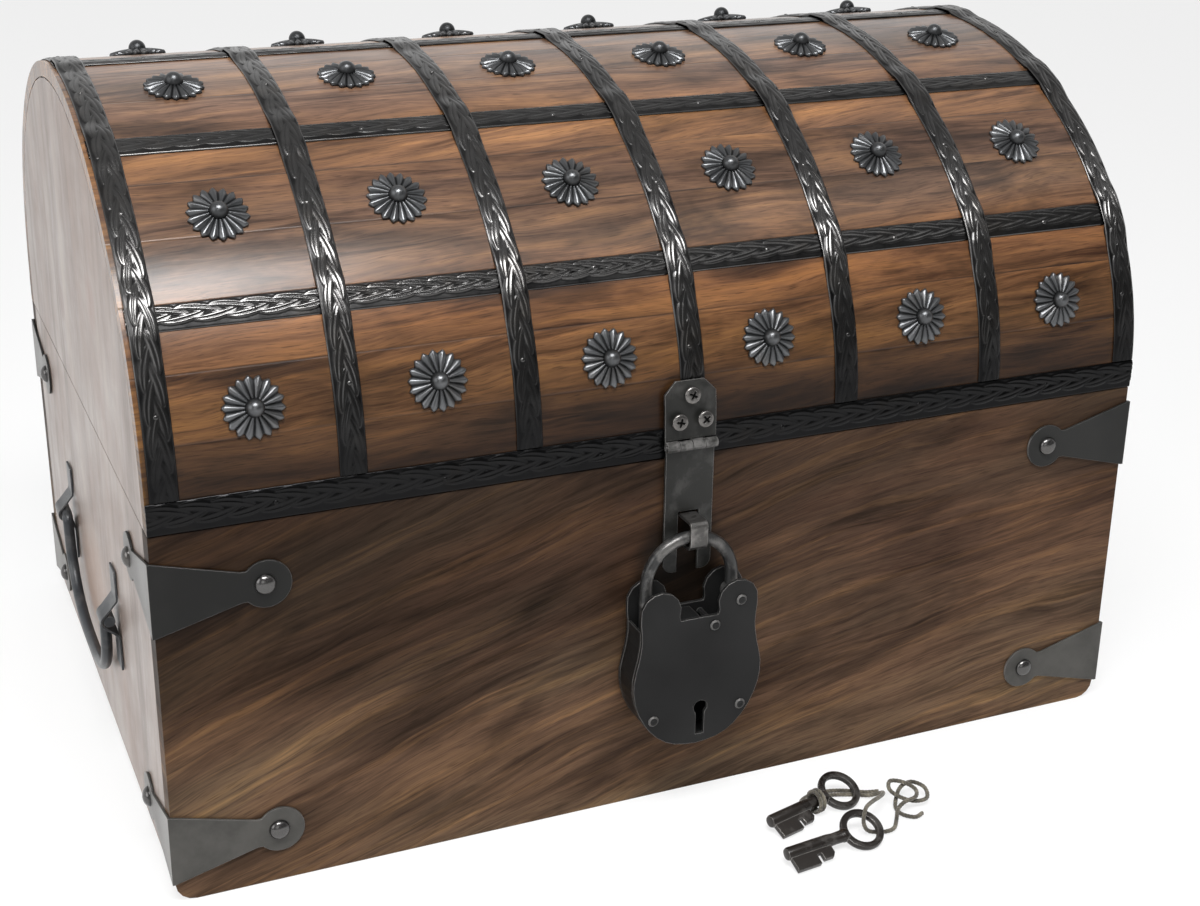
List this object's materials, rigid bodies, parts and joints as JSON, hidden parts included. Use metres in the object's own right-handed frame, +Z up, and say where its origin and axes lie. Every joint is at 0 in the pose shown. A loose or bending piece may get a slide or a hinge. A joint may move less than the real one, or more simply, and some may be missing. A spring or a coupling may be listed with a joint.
{
  "type": "treasure chest",
  "caption": "Domed wooden chest with iron bands, rosettes, corner irons, drop handles, a hinged lid, a hasp with a hanging padlock and two tied keys.",
  "frame": {"origin": "under the middle of the box, on the surface that it stands on", "axes": "+X right as seen from the front, -Y front, +Z up"},
  "size_m": [0.4486, 0.3858, 0.3006],
  "materials": {
    "box_wood": "dark stained, satin lacquer",
    "side_wood": "brown stained, satin lacquer",
    "lid_wood": "brown stained, gloss lacquer",
    "band_iron": "blackened, embossed with a rope pattern",
    "corner_iron": "satin black",
    "handle_iron": "satin black",
    "hasp_iron": "blackened",
    "staple_iron": "worn bright",
    "padlock_iron": "satin black",
    "key_iron": "dark brown, worn",
    "twine_fibre": "grey-green fibre"
  },
  "bodies": {
    "box": {"box_front": "box_wood", "box_back": "box_wood", "box_left": "side_wood", "box_right": "side_wood", "box_bottom": "box_wood", "bracket_front_left_top": "corner_iron", "bracket_front_left_bottom": "corner_iron", "bracket_front_right_top": "corner_iron", "bracket_front_right_bottom": "corner_iron", "bracket_back_left_top": "corner_iron", "bracket_back_left_bottom": "corner_iron", "bracket_back_right_top": "corner_iron", "bracket_back_right_bottom": "corner_iron", "handle_left_plate_front": "handle_iron", "handle_left_plate_back": "handle_iron", "handle_right_plate_front": "handle_iron", "handle_right_plate_back": "handle_iron", "hinge_left_box_leaf": "hasp_iron", "hinge_right_box_leaf": "hasp_iron", "hinge_left_pin": "hasp_iron", "hinge_right_pin": "hasp_iron", "hasp_staple": "staple_iron"},
    "lid": {"lid_shell": "lid_wood", "lid_left_end": "side_wood", "lid_right_end": "side_wood", "arch_band_1": "band_iron", "arch_band_2": "band_iron", "arch_band_3": "band_iron", "arch_band_4": "band_iron", "arch_band_5": "band_iron", "arch_band_6": "band_iron", "arch_band_7": "band_iron", "rail_band_1": "band_iron", "rail_band_2": "band_iron", "rail_band_3": "band_iron", "rail_band_4": "band_iron", "rail_band_5": "band_iron", "rail_band_6": "band_iron", "rail_band_7": "band_iron", "hinge_left_lid_leaf": "hasp_iron", "hinge_right_lid_leaf": "hasp_iron", "hasp_plate": "hasp_iron", "hasp_pin": "hasp_iron", "hasp_screw_top": "hasp_iron", "hasp_screw_left": "hasp_iron", "hasp_screw_right": "hasp_iron"},
    "hasp": {"hasp_strap": "hasp_iron"},
    "shackle": {"padlock_shackle": "padlock_iron"},
    "padlock_case": {"padlock_back_plate": "padlock_iron", "padlock_front_plate": "padlock_iron", "padlock_rim": "padlock_iron", "padlock_pivot": "padlock_iron"},
    "bolt": {"padlock_bolt": "padlock_iron"},
    "left_handle": {"handle_left_bail": "handle_iron"},
    "right_handle": {"handle_right_bail": "handle_iron"},
    "keys": {"key_1": "key_iron", "key_2": "key_iron", "twine": "twine_fibre"}
  },
  "joints": [
    {"name": "lid_open", "type": "hinge", "parent": "box", "child": "lid", "pos_m": [0, 0.1555, 0.1522], "axis": [-1, 0, 0], "range_deg": [0, 105]},
    {"name": "hasp_swing", "type": "hinge", "parent": "lid", "child": "hasp", "pos_m": [-0.0015, -0.1564, 0.161], "axis": [-1, 0, 0], "range_deg": [0, 52.5]},
    {"name": "padlock_swing", "type": "hinge", "parent": "box", "child": "shackle", "pos_m": [-0.00345, -0.162, 0.10435], "axis": [0, -1, 0], "range_deg": [-15, 15]},
    {"name": "padlock_open", "type": "hinge", "parent": "shackle", "child": "padlock_case", "pos_m": [0.0158, -0.162, 0.0965], "axis": [0, -1, 0], "range_deg": [0, 60]},
    {"name": "bolt_slide", "type": "slide", "parent": "padlock_case", "child": "bolt", "axis": [-1, 0, 0], "range_m": [0, 0.0022]},
    {"name": "left_handle_swing", "type": "hinge", "parent": "box", "child": "left_handle", "pos_m": [-0.2204, 0, 0.08], "axis": [0, 1, 0], "range_deg": [0, 150]},
    {"name": "right_handle_swing", "type": "hinge", "parent": "box", "child": "right_handle", "pos_m": [0.2204, 0, 0.08], "axis": [0, -1, 0], "range_deg": [0, 150]},
    {"name": "keys_lift", "type": "slide", "parent": "box", "child": "keys", "axis": [0, 0, 1], "range_m": [0, 0.25]}
  ],
  "couplings": [
    {"joint": "hasp_swing", "follows": "lid_open", "ratio": 0.5}
  ]
}
